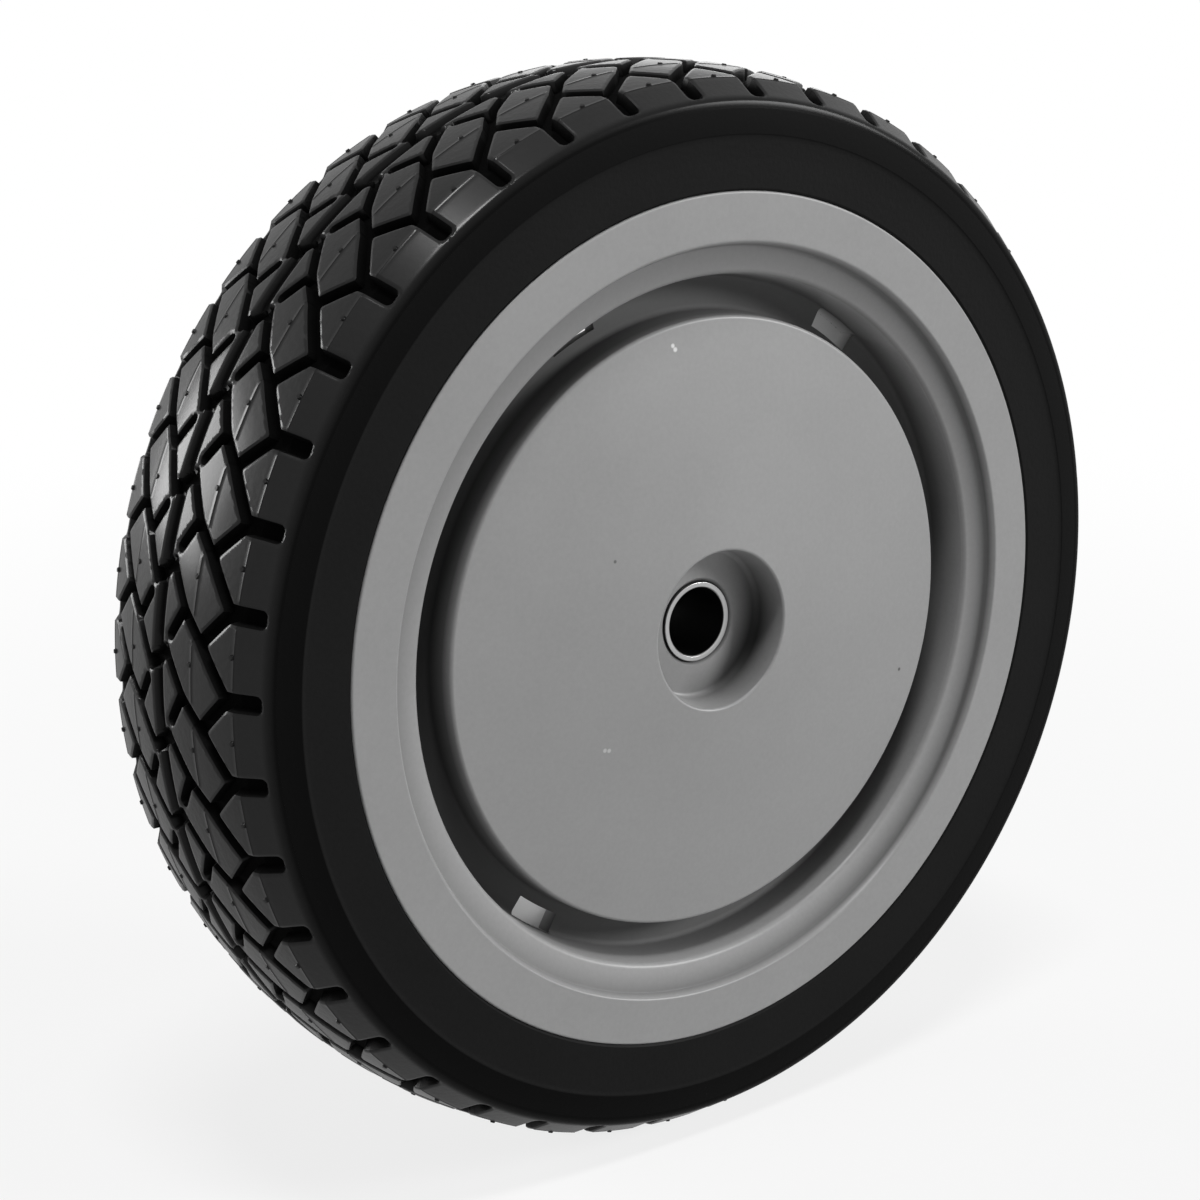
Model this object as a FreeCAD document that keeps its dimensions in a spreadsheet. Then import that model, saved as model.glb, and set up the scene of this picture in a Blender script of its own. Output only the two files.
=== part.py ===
import FreeCAD, Part
import math
import os
import Sketcher

# A mower wheel: a rubber tyre on a one-piece moulded hub with a pressed-in axle sleeve.
# Millimetres. The origin is the wheel's centre and the axle runs along Y.
# The outer face looks towards -Y and +Z is up.

DRIVING_SIZES = [
    ("tyre_od", 203.2, "diameter over the tread, a nominal 8 inches"),
    ("tread_width", 42.0, "width of the crowned tread between its two edges"),
    ("crown_drop", 2.6, "how much lower the tread's edge is than its middle"),
    ("shoulder_run", 4.9, "width of the sloping shoulder, along the axle"),
    ("shoulder_drop", 3.4, "height of the sloping shoulder"),
    ("crease_height", 9.8, "from the hub's flange up to the crease in the sidewall"),
    ("sidewall_bulge", 0.7, "how far the crease stands out from the flange's face"),
    ("pitch_count", 43, "repeats of the tread pattern round the tyre"),
    ("notch_angle", 152.7, "where one shoulder notch lies, from +X towards +Z"),
    ("notch_width", 3.4, "width of a shoulder notch"),
    ("notch_gap", 1.1, "from a notch's closed end to the foot of the shoulder"),
    ("tread_groove_width", 2.3, "width of the slanting grooves"),
    ("tread_groove_depth", 2.2, "depth of the slanting grooves and notches"),
    ("outer_row_gap", 1.8, "from the tread's edge to the outer zigzag"),
    ("outer_row", 6.7, "height of the outer zigzag, along the axle"),
    ("link_row", 4.5, "height of the links between the zigzags"),
    ("inner_row", 5.4, "height of the inner zigzag"),
    ("branch_drop", 0.5, "from the inner zigzag's top down to its side branch"),
    ("branch_row", 3.6, "height of the side branch"),
    ("foot_turn", 0.44, "the outer zigzag's foot, in pitches from a notch"),
    ("knee_turn", 0.165, "the inner zigzag's top, in pitches from a notch"),
    ("tail_turn", -0.355, "the inner zigzag's end, in pitches from a notch"),
    ("branch_turn", 0.12, "the side branch's start, in pitches from a notch"),
    ("blind_turn", 0.46, "the side branch's blind end, in pitches from a notch"),
    ("stagger", 0.545, "how far the inner side's notches are turned, in pitches"),
    ("centre_groove_width", 3.2, "width of the groove round the middle"),
    ("centre_groove_depth", 1.3, "depth of the groove round the middle"),
    ("rim_od", 159.0, "outside diameter of the hub's flanges"),
    ("rim_width", 52.0, "width of the hub over its flanges"),
    ("flange_wall", 4.6, "thickness of a flange"),
    ("flange_height", 12.2, "height of a flange above the tyre's seat"),
    ("barrel_wall", 3.6, "wall under the tyre's seat"),
    ("ring_face", 8.8, "width of the flat ring on the outer face"),
    ("step_run", 0.8, "slope of the step inside the ring"),
    ("step_depth", 1.6, "depth of the step inside the ring"),
    ("lip_depth", 3.0, "depth of the groove's lip below the ring"),
    ("lip_draft", 1.1, "draft of the groove's outer wall"),
    ("groove_floor", 11.4, "depth of the groove's floor below the ring"),
    ("groove_width", 6.1, "width of the groove's floor"),
    ("disc_draft", 0.4, "draft of the centre disc's side"),
    ("disc_depth", 4.2, "depth of the centre disc's edge below the ring"),
    ("disc_rise", 3.8, "how far the disc rises towards the middle"),
    ("web_wall", 3.0, "wall of the disc, the groove's floor and the recess"),
    ("recess_od", 29.8, "mouth of the recess for the bolt's head"),
    ("recess_draft", 0.5, "draft of the recess wall"),
    ("recess_floor", 7.7, "depth of the recess floor below the ring"),
    ("boss_od", 23.0, "outside diameter of the boss round the sleeve"),
    ("sleeve_od", 15.1, "outside diameter of the axle sleeve"),
    ("axle_bore", 12.8, "bore of the axle sleeve, for a half-inch axle"),
    ("sleeve_chamfer", 0.3, "chamfer of the sleeve's bore"),
    ("seat_chamfer", 0.85, "chamfer of the hub round the sleeve's end"),
    ("rib_count", 6, "ribs behind the disc"),
    ("rib_wall", 2.6, "thickness of a rib"),
    ("rib_setback", 7.0, "from the hub's inner side to the ribs' edge"),
    ("window_angle", 55.3, "where the first window lies, from +X towards +Z"),
    ("window_width", 10.0, "width of a window, round the groove"),
    ("window_length", 3.8, "length of a window, from the groove's outer wall inwards"),
    ("ring_round", 0.6, "rounding of the flange's outer edge"),
    ("step_round", 0.7, "rounding of the ring's inner edge"),
    ("lip_round", 1.2, "rounding of the groove's lip"),
    ("disc_round", 0.9, "rounding of the disc's edge"),
    ("recess_round", 0.5, "rounding of the recess mouth"),
    ("floor_round", 1.0, "rounding at the foot of the groove and the recess"),
]

# The three windows, as turns from the first one.
WINDOW_TURNS = (0, 60, 180)

# One pitch of the tread is cut from a slice of the tyre that starts at this turn, in pitches
# from a notch, clear of the grooves' corners. The grooves run on past its ends.
SLICE_START = -0.25
SLICE_MARGIN = 0.1

doc = FreeCAD.newDocument("mower_wheel")
sizes = doc.addObject("Spreadsheet::Sheet", "sizes")
for row, (alias, value, note) in enumerate(DRIVING_SIZES, start=1):
    sizes.set(f"A{row}", alias)
    sizes.set(f"B{row}", str(value))
    sizes.setAlias(f"B{row}", alias)
    sizes.set(f"C{row}", note)
doc.recompute()


# Sizes that follow from the driving ones. The hub's are depths and radii on its section.
RIM_R = "sizes.rim_od / 2"
SEAT_R = f"{RIM_R} - sizes.flange_height"
GROOVE_R = f"{SEAT_R} - sizes.barrel_wall"
LIP_R = f"{GROOVE_R} + sizes.lip_draft"
STEP_R = f"{RIM_R} - sizes.ring_face"
STEP_FOOT_R = f"{STEP_R} - sizes.step_run"
GROOVE_IN_R = f"{GROOVE_R} - sizes.groove_width"
DISC_R = f"{GROOVE_IN_R} - sizes.disc_draft"
DISC_TOP = "sizes.disc_depth - sizes.disc_rise"
RECESS_R = "sizes.recess_od / 2"
RECESS_FLOOR_R = f"{RECESS_R} - sizes.recess_draft"
SLEEVE_R = "sizes.sleeve_od / 2"
BORE_R = "sizes.axle_bore / 2"
BOSS_R = "sizes.boss_od / 2"
INNER_SIDE = "sizes.rim_width"

CENTRE = FreeCAD.Vector()
AXLE = FreeCAD.Vector(0, 1, 0)


def value(expression):
    """The number that an expression on the sheet gives."""
    return float(sizes.evalExpression(expression))


def origin_feature(body, role):
    for feature in body.Origin.OriginFeatures:
        if feature.Role == role:
            return feature


def section_sketch(body, name, corners, turn=None):
    """A closed outline on a half plane through the axle.

    Each corner is a pair of expressions: the radius and the depth below the ring's face.
    turn is an expression for the half plane's angle, from +X towards +Z.
    """
    sketch = body.newObject("Sketcher::SketchObject", name)
    sketch.AttachmentSupport = (origin_feature(body, "XY_Plane"), [""])
    sketch.MapMode = "FlatFace"
    if turn:
        start = FreeCAD.Rotation(-AXLE, value(turn))
        sketch.AttachmentOffset = FreeCAD.Placement(FreeCAD.Vector(), start)
        sketch.setExpression("AttachmentOffset.Rotation.Angle", turn)
    sketch.setExpression("AttachmentOffset.Base.y", "-sizes.rim_width / 2")
    points = [FreeCAD.Vector(value(r), value(depth), 0) for r, depth in corners]
    count = len(points)
    for i in range(count):
        sketch.addGeometry(Part.LineSegment(points[i], points[(i + 1) % count]))
    for i in range(count):
        sketch.addConstraint(Sketcher.Constraint("Coincident", i, 2, (i + 1) % count, 1))
    for i, (r, depth) in enumerate(corners):
        across = sketch.addConstraint(Sketcher.Constraint("DistanceX", -1, 1, i, 1, points[i].x))
        sketch.setExpression(f"Constraints[{across}]", r)
        if depth == "0":
            sketch.addConstraint(Sketcher.Constraint("PointOnObject", i, 1, -1))
        else:
            down = sketch.addConstraint(Sketcher.Constraint("DistanceY", -1, 1, i, 1, points[i].y))
            sketch.setExpression(f"Constraints[{down}]", depth)
    return sketch


def revolve(body, name, sketch):
    feature = body.newObject("PartDesign::Revolution", name)
    feature.Profile = (sketch, [""])
    feature.ReferenceAxis = (sketch, ["V_Axis"])
    feature.Angle = 360
    doc.recompute()
    return feature


def circle_edges(shape, rings):
    """Names of the round edges at the given (radius, depth) pairs of expressions."""
    names = []
    for r, depth in rings:
        at_r = value(r)
        at_y = value(depth) - value("sizes.rim_width / 2")
        for i, edge in enumerate(shape.Edges, start=1):
            curve = edge.Curve
            if not isinstance(curve, Part.Circle):
                continue
            if abs(curve.Radius - at_r) < 1e-4 and abs(curve.Center.y - at_y) < 1e-4:
                names.append(f"Edge{i}")
    return names


def dress(body, kind, name, base, rings, size):
    """Rounds or chamfers the round edges of base at the given (radius, depth) pairs."""
    feature = body.newObject(kind, name)
    feature.Base = (base, circle_edges(base.Shape, rings))
    feature.setExpression("Radius" if kind.endswith("Fillet") else "Size", size)
    doc.recompute()
    return feature


def both_ways(body, kind, name, sketch, width):
    """A pad or pocket of the whole width, half on each side of its sketch."""
    feature = body.newObject(kind, name)
    feature.Profile = (sketch, [""])
    feature.setExpression("Length", width)
    feature.Midplane = True
    doc.recompute()
    return feature


def make_hub():
    """The moulded hub: flanges and barrel outside, a dished disc, a boss, ribs and windows."""
    body = doc.addObject("PartDesign::Body", "hub_body")
    body.Label = "hub"
    floor = "sizes.groove_floor"
    floor_back = "sizes.groove_floor + sizes.web_wall"
    recess_back = "sizes.recess_floor + sizes.web_wall"
    inner_flange = "sizes.rim_width - sizes.flange_wall"
    corners = [
        (RIM_R, "0"),
        (STEP_R, "0"),
        (STEP_FOOT_R, "sizes.step_depth"),
        (LIP_R, "sizes.lip_depth"),
        (GROOVE_R, floor),
        (GROOVE_IN_R, floor),
        (DISC_R, "sizes.disc_depth"),
        (RECESS_R, DISC_TOP),
        (RECESS_FLOOR_R, "sizes.recess_floor"),
        (f"{SLEEVE_R} + sizes.seat_chamfer", "sizes.recess_floor"),
        (SLEEVE_R, "sizes.recess_floor + sizes.seat_chamfer"),
        (SLEEVE_R, INNER_SIDE),
        (BOSS_R, INNER_SIDE),
        (BOSS_R, recess_back),
        (f"{RECESS_FLOOR_R} + sizes.web_wall", recess_back),
        (f"{RECESS_R} + sizes.web_wall", f"{DISC_TOP} + sizes.web_wall"),
        (f"{DISC_R} - sizes.web_wall", "sizes.disc_depth + sizes.web_wall"),
        (f"{GROOVE_IN_R} - sizes.web_wall", floor_back),
        (GROOVE_R, floor_back),
        (GROOVE_R, INNER_SIDE),
        (RIM_R, INNER_SIDE),
        (RIM_R, inner_flange),
        (SEAT_R, inner_flange),
        (SEAT_R, "sizes.flange_wall"),
        (RIM_R, "sizes.flange_wall"),
    ]
    tip = revolve(body, "hub_section", section_sketch(body, "hub_outline", corners))
    roundings = [
        ("flange_edges", [(RIM_R, "0"), (RIM_R, INNER_SIDE)], "sizes.ring_round"),
        ("ring_edge", [(STEP_R, "0")], "sizes.step_round"),
        ("lip_edge", [(LIP_R, "sizes.lip_depth")], "sizes.lip_round"),
        ("disc_edge", [(DISC_R, "sizes.disc_depth")], "sizes.disc_round"),
        ("recess_mouth", [(RECESS_R, DISC_TOP)], "sizes.recess_round"),
        ("feet", [(GROOVE_R, floor), (GROOVE_IN_R, floor), (RECESS_FLOOR_R, "sizes.recess_floor")],
         "sizes.floor_round"),
    ]
    for name, rings, size in roundings:
        tip = dress(body, "PartDesign::Fillet", name, tip, rings, size)
    add_ribs(body)
    for number, turn in enumerate(WINDOW_TURNS, start=1):
        add_window(body, number, f"sizes.window_angle + {turn}")
    return body


def add_ribs(body):
    """Ribs from the boss to the barrel, midway between the windows, sunk half a wall into the web."""
    half_wall = "sizes.web_wall / 2"
    boss_middle = f"({BOSS_R} + {SLEEVE_R}) / 2"
    barrel_middle = f"{GROOVE_R} + sizes.barrel_wall / 2"
    edge = "sizes.rim_width - sizes.rib_setback"
    corners = [
        (boss_middle, f"sizes.recess_floor + {half_wall}"),
        (f"{RECESS_FLOOR_R} + {half_wall}", f"sizes.recess_floor + {half_wall}"),
        (f"{RECESS_R} + {half_wall}", f"{DISC_TOP} + {half_wall}"),
        (f"{DISC_R} - {half_wall}", f"sizes.disc_depth + {half_wall}"),
        (f"{GROOVE_IN_R} - {half_wall}", f"sizes.groove_floor + {half_wall}"),
        (barrel_middle, f"sizes.groove_floor + {half_wall}"),
        (barrel_middle, edge),
        (boss_middle, edge),
    ]
    turn = "sizes.window_angle + 180 / sizes.rib_count"
    rib = both_ways(body, "PartDesign::Pad", "rib", section_sketch(body, "rib_outline", corners, turn),
                    "sizes.rib_wall")
    pattern = body.newObject("PartDesign::PolarPattern", "ribs")
    pattern.Originals = [rib]
    pattern.Axis = (origin_feature(body, "Y_Axis"), [""])
    pattern.Angle = 360
    pattern.setExpression("Occurrences", "sizes.rib_count")
    body.Tip = pattern
    doc.recompute()


def add_window(body, number, turn):
    """A window through the groove's floor, beside its outer wall."""
    above = "sizes.groove_floor - sizes.web_wall / 2"
    below = "sizes.groove_floor + sizes.web_wall * 3 / 2"
    opening = [
        (f"{GROOVE_R} - sizes.window_length", above),
        (GROOVE_R, above),
        (GROOVE_R, below),
        (f"{GROOVE_R} - sizes.window_length", below),
    ]
    outline = section_sketch(body, f"window_outline_{number}", opening, turn)
    both_ways(body, "PartDesign::Pocket", f"window_{number}", outline, "sizes.window_width")


def make_sleeve():
    """The steel sleeve that lines the boss, from the recess floor to the inner side."""
    body = doc.addObject("PartDesign::Body", "axle_sleeve_body")
    body.Label = "axle_sleeve"
    corners = [
        (BORE_R, "sizes.recess_floor"),
        (SLEEVE_R, "sizes.recess_floor"),
        (SLEEVE_R, INNER_SIDE),
        (BORE_R, INNER_SIDE),
    ]
    tube = revolve(body, "sleeve_tube", section_sketch(body, "sleeve_outline", corners))
    mouths = [(BORE_R, "sizes.recess_floor"), (BORE_R, INNER_SIDE)]
    dress(body, "PartDesign::Chamfer", "sleeve_mouths", tube, mouths, "sizes.sleeve_chamfer")
    return body


class Tread:
    """The tyre's outer surface, and places on it.

    A place is (turn, along): turn counts pitches from a shoulder notch, and along is the
    distance from the middle of the tread, positive towards the outer face.
    """

    def __init__(self):
        radius = value("sizes.tyre_od / 2")
        drop = value("sizes.crown_drop")
        self.half = value("sizes.tread_width / 2")
        self.bend = self.half / 2
        self.wide = self.half + value("sizes.shoulder_run")
        self.depth = value("sizes.tread_groove_depth")
        self.pitch = 360 / value("sizes.pitch_count")
        self.start = value("sizes.notch_angle")
        # a parabola's heights at the middle, half way and the edge, then the shoulder's foot
        edge = radius - drop
        self.places = [0, self.bend, self.half, self.wide]
        self.heights = [radius, radius - drop / 4, edge, edge - value("sizes.shoulder_drop")]

    def height(self, along):
        """The radius at a distance from the middle, straight between the named places."""
        far = abs(along)
        i = max(k for k in range(len(self.places) - 1) if self.places[k] <= far)
        share = (far - self.places[i]) / (self.places[i + 1] - self.places[i])
        return self.heights[i] + share * (self.heights[i + 1] - self.heights[i])

    def point(self, turn, along):
        angle = math.radians(self.start + turn * self.pitch)
        r = self.height(along)
        return FreeCAD.Vector(r * math.cos(angle), -along, r * math.sin(angle))


def groove_legs(tread):
    """The straight grooves of one pitch: a notch, two zigzags and a branch on each side.

    A leg is (start, end, width, lead), where lead is how far its bar begins before its start.
    The tread's inner half is its outer half turned half round about a point on the middle.
    """
    width = value("sizes.tread_groove_width")
    lead = width / 2
    top = tread.half - value("sizes.outer_row_gap")
    foot = top - value("sizes.outer_row")
    knee = foot - value("sizes.link_row")
    tail = knee - value("sizes.inner_row")
    branch = knee - value("sizes.branch_drop")
    blind = branch - value("sizes.branch_row")
    foot_turn = value("sizes.foot_turn")
    knee_turn = value("sizes.knee_turn")
    closed_end = tread.wide - value("sizes.notch_gap")
    outer_half = [
        ((0, closed_end), (0, top - lead), value("sizes.notch_width"), 0),
        ((0, top), (foot_turn, foot), width, 0),
        ((1, top), (foot_turn, foot), width, 0),
        ((foot_turn, foot), (knee_turn, knee), width, lead),
        ((knee_turn, knee), (value("sizes.tail_turn"), tail), width, lead),
        ((value("sizes.branch_turn"), branch), (value("sizes.blind_turn"), blind), width, 0),
    ]
    stagger = value("sizes.stagger")
    inner_half = []
    for (u0, t0), (u1, t1), wide, ahead in outer_half:
        inner_half.append(((stagger - u0, -t0), (stagger - u1, -t1), wide, ahead))
    return outer_half + inner_half


def groove_bar(tread, leg, shift):
    """A straight bar along a groove, from below its floor to above the tread."""
    (u0, t0), (u1, t1), width, lead = leg
    first = tread.point(u0 + shift, t0)
    last = tread.point(u1 + shift, t1)
    run = (last - first).normalize()
    first = first - run * lead
    middle = (first + last) / 2
    side = run.cross(FreeCAD.Vector(middle.x, 0, middle.z)).normalize()
    up = side.cross(run).normalize() * (2 * tread.depth)
    half = side * (width / 2)
    corners = [first - half, last - half, last + half, first + half]
    outline = Part.makePolygon([corner - up for corner in corners + corners[:1]])
    return Part.Face(outline).extrude(up * 2)


def mirrored(half_section):
    """A whole section from its outer half, as (radius, along) corners."""
    return half_section + [(r, -along) for r, along in reversed(half_section)]


def tyre_section(tread):
    """The tyre's section: sidewalls, shoulders and crown, down to below the hub's seat."""
    side = value("sizes.rim_width / 2 + sizes.sidewall_bulge")
    groove_half = value("sizes.centre_groove_width / 2")
    half_section = [(value(GROOVE_R), side), (value(f"{RIM_R} + sizes.crease_height"), side)]
    for along in (tread.wide, tread.half, tread.bend, groove_half):
        half_section.append((tread.height(along), along))
    half_section.append((tread.height(0) - value("sizes.centre_groove_depth"), groove_half))
    return mirrored(half_section)


def above_floors(tread):
    """The section of all that lies above the grooves' floors, which follow the tread."""
    half_section = [(tread.height(0) + tread.depth, tread.wide)]
    for along in (tread.wide, tread.half, tread.bend):
        half_section.append((tread.height(along) - tread.depth, along))
    return mirrored(half_section)


def flat_run(tread, section, first, last):
    """A section run straight across each pitch from first up to last, its corners on the round."""
    half_turn = math.radians(tread.pitch / 2)
    across = 2 * tread.height(0)
    reach = across * math.sin(half_turn)
    shrink = math.cos(half_turn)
    corners = [FreeCAD.Vector(r * shrink, -along, -reach) for r, along in section]
    flat = Part.Face(Part.makePolygon(corners + corners[:1])).extrude(FreeCAD.Vector(0, 0, 2 * reach))
    half_plane = Part.makePlane(across, across, FreeCAD.Vector(0, -across / 2, 0))
    half_plane.rotate(CENTRE, AXLE, tread.pitch / 2)
    flat = flat.common(half_plane.revolve(CENTRE, AXLE, -tread.pitch))
    flats = []
    for i in range(first, last):
        copy = flat.copy()
        copy.rotate(CENTRE, AXLE, -(tread.start + (SLICE_START + i + 0.5) * tread.pitch))
        flats.append(copy)
    return flats[0].multiFuse(flats[1:])


def seat_round():
    """The round room for the hub inside the tyre: its barrel and its two flanges."""
    half_rim = value("sizes.rim_width / 2")
    seat_half = half_rim - value("sizes.flange_wall")
    beyond = half_rim + value("sizes.flange_wall")
    room = Part.makeCylinder(value(SEAT_R), 2 * beyond, FreeCAD.Vector(0, -beyond, 0), AXLE)
    for start in (-beyond, seat_half):
        corner = FreeCAD.Vector(0, start, 0)
        room = room.fuse(Part.makeCylinder(value(RIM_R), beyond - seat_half, corner, AXLE))
    return room


def make_tyre():
    """The tyre: one pitch is cut from a slice of the ring, and its skin is repeated round the axle."""
    tread = Tread()
    bars = []
    for shift in (-1, 0, 1):
        for leg in groove_legs(tread):
            turns = [leg[0][0] + shift, leg[1][0] + shift]
            if max(turns) > SLICE_START - SLICE_MARGIN and min(turns) < SLICE_START + 1 + SLICE_MARGIN:
                bars.append(groove_bar(tread, leg, shift))
    layer = flat_run(tread, above_floors(tread), -1, 2)
    grooves = bars[0].fuse(bars[1:]).common(layer)
    piece = flat_run(tread, tyre_section(tread), 0, 1)
    piece = piece.cut(seat_round()).cut(grooves).removeSplitter()
    ends = [math.radians(tread.start + (SLICE_START + turn) * tread.pitch) for turn in (0, 1)]
    skin = Part.Compound([face for face in piece.Faces if not on_end(face, ends)])
    skins = []
    for i in range(int(value("sizes.pitch_count"))):
        copy = skin.copy()
        copy.rotate(CENTRE, AXLE, -i * tread.pitch)
        skins.append(copy)
    ring = Part.Compound(skins)
    ring.sewShape()
    tyre = doc.addObject("Part::Feature", "tyre")
    tyre.Label = "tyre"
    tyre.Shape = Part.Solid(ring.Shells[0])
    return tyre


def on_end(face, ends):
    """Whether a face lies in one of the two planes that bound a slice of the ring."""
    for angle in ends:
        across = FreeCAD.Vector(-math.sin(angle), 0, math.cos(angle))
        if all(abs(vertex.Point.dot(across)) < 1e-5 for vertex in face.Vertexes):
            return True
    return False


pieces = [make_hub(), make_sleeve(), make_tyre()]
doc.recompute()

for item in doc.Objects:
    if "Invalid" in item.State or "Error" in item.State:
        raise RuntimeError(f"{item.Label} failed: {item.State}")
os.makedirs("parts", exist_ok=True)
for piece in pieces:
    shape = piece.Shape
    if shape.isNull() or not shape.isValid() or len(shape.Solids) != 1:
        raise RuntimeError(f"{piece.Label} is not one valid solid")
    shape.exportStep(f"parts/{piece.Label}.step")
    print(f"{piece.Label}: {shape.Volume / 1000:.1f} cm3, {len(shape.Faces)} faces, box {shape.BoundBox}")
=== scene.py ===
# %% [markdown]
# # A mower wheel
# The CAD model gives the wheel's true shape: a rubber tyre, a one-piece plastic hub and a steel
# sleeve for the axle. This lesson dresses it for a picture. The frame is loaded first, and its
# box is kept, because what is added must not grow past it. All lengths are in metres.

# %% Load the frame
import math
import bpy
import numpy as np
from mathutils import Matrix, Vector


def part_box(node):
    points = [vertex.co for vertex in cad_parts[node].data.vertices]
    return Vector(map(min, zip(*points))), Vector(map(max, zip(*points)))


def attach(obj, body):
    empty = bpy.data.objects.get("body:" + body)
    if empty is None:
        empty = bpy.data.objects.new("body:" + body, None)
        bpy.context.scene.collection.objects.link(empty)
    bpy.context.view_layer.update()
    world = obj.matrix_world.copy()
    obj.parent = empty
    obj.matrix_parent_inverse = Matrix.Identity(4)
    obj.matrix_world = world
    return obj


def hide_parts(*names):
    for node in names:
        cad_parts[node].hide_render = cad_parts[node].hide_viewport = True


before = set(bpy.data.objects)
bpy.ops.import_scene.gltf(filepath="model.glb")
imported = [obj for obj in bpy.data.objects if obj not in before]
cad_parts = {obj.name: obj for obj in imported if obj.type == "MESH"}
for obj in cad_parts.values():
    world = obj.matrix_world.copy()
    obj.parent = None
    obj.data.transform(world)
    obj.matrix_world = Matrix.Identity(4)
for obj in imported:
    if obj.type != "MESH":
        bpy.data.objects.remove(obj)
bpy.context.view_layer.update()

MM = 0.001
TINY = 1e-9
tyre_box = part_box("tyre")
hub_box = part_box("hub")
sleeve_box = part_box("axle_sleeve")
TYRE_R = min(tyre_box[1].x, tyre_box[1].z, -tyre_box[0].x, -tyre_box[0].z)
TYRE_SIDE = tyre_box[1].y
RIM_R = hub_box[1].z
RIM_SIDE = hub_box[1].y
print(f"tyre {2000 * TYRE_R:.1f} mm across, {2000 * TYRE_SIDE:.1f} mm wide, rim {2000 * RIM_R:.1f} mm")

# %% [markdown]
# ## Meshes from arrays
# A smooth piece is a grid of points: one index runs along its section, the other round the axle.
# The grid is worked out as whole arrays, and its cells become two triangles each. A cell can be
# split along either diagonal. Where a sharp edge crosses it, the diagonal that follows the edge
# keeps the edge straight, so the split is chosen cell by cell.


# %% Grid helpers
def add_mesh(name, points, triangles, sharp_degrees, shade, body="root"):
    """A mesh object from an (n, 3) array of points and an (m, 3) array of corners.

    It is smooth, but for edges sharper than sharp_degrees. The shade, one number from 0 to 1 for each
    point, says how far its tone goes to the deep tone.
    """
    mesh = bpy.data.meshes.new(name)
    mesh.vertices.add(len(points))
    mesh.vertices.foreach_set("co", np.ascontiguousarray(points, np.float32).ravel())
    mesh.loops.add(triangles.size)
    mesh.loops.foreach_set("vertex_index", np.ascontiguousarray(triangles, np.int32).ravel())
    mesh.polygons.add(len(triangles))
    mesh.polygons.foreach_set("loop_start", np.arange(0, triangles.size, 3, dtype=np.int32))
    mesh.update(calc_edges=True)
    mesh.validate()
    attribute = mesh.attributes.new("shade", "FLOAT", "POINT")
    attribute.data.foreach_set("value", np.ascontiguousarray(shade, np.float32).ravel())
    mesh.shade_smooth()
    mesh.set_sharp_from_angle(angle=math.radians(sharp_degrees))
    piece = bpy.data.objects.new(name, mesh)
    bpy.context.scene.collection.objects.link(piece)
    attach(piece, body)
    return piece


def grid_triangles(rounds, rows, level=None, closed_section=False):
    """Corners of a grid that closes on itself in its first index, and in its second for a closed section.

    Each cell has corners a, b, c, d in turn. It is split from a to c, or from b to d where level,
    one number for each point, differs less along that diagonal.
    """
    i = np.arange(rounds)[:, None]
    j = np.arange(rows if closed_section else rows - 1)[None, :]
    ahead = (i + 1) % rounds
    beside = (j + 1) % rows
    a = i * rows + j
    b = ahead * rows + j
    c = ahead * rows + beside
    d = i * rows + beside
    if level is None:
        along_ac = np.ones_like(a, bool)
    else:
        flat = level.ravel()
        along_ac = np.abs(flat[a] - flat[c]) <= np.abs(flat[b] - flat[d])
    first = np.where(along_ac[..., None], np.stack([a, b, c], -1), np.stack([a, b, d], -1))
    second = np.where(along_ac[..., None], np.stack([a, c, d], -1), np.stack([b, c, d], -1))
    return np.concatenate([first.reshape(-1, 3), second.reshape(-1, 3)])


def turned(radius, along, angle):
    """Points at a radius from the axle, at a place along it and at an angle from +X towards +Z."""
    return np.stack(np.broadcast_arrays(radius * np.cos(angle), -along, radius * np.sin(angle)), -1)


# %% [markdown]
# ## The tyre's section
# Seen in section, the tread is a shallow crown. A sloping shoulder follows, then the sidewall, up
# to a crisp crease. The corners between them are softly rounded, as in a mould that has been
# polished. The section is drawn as a polyline in small equal steps, and averaging each point with
# its neighbours rounds the corners.

# %% Tyre section
TREAD_HALF = 21.0 * MM
CROWN_DROP = 2.6 * MM
SHOULDER_RUN = 4.9 * MM
SHOULDER_DROP = 3.4 * MM
CREASE_R = RIM_R + 9.8 * MM
CORNER_SPAN = 2.4 * MM
SECTION_STEP = 0.1 * MM

SHOULDER_LENGTH = math.hypot(SHOULDER_RUN, SHOULDER_DROP)
FOOT_R = TYRE_R - CROWN_DROP - SHOULDER_DROP
FOOT_SIDE = TREAD_HALF + SHOULDER_RUN
CREASE_LENGTH = math.hypot(FOOT_R - CREASE_R, TYRE_SIDE - FOOT_SIDE)
SECTION_END = TREAD_HALF + SHOULDER_LENGTH + CREASE_LENGTH


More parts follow.
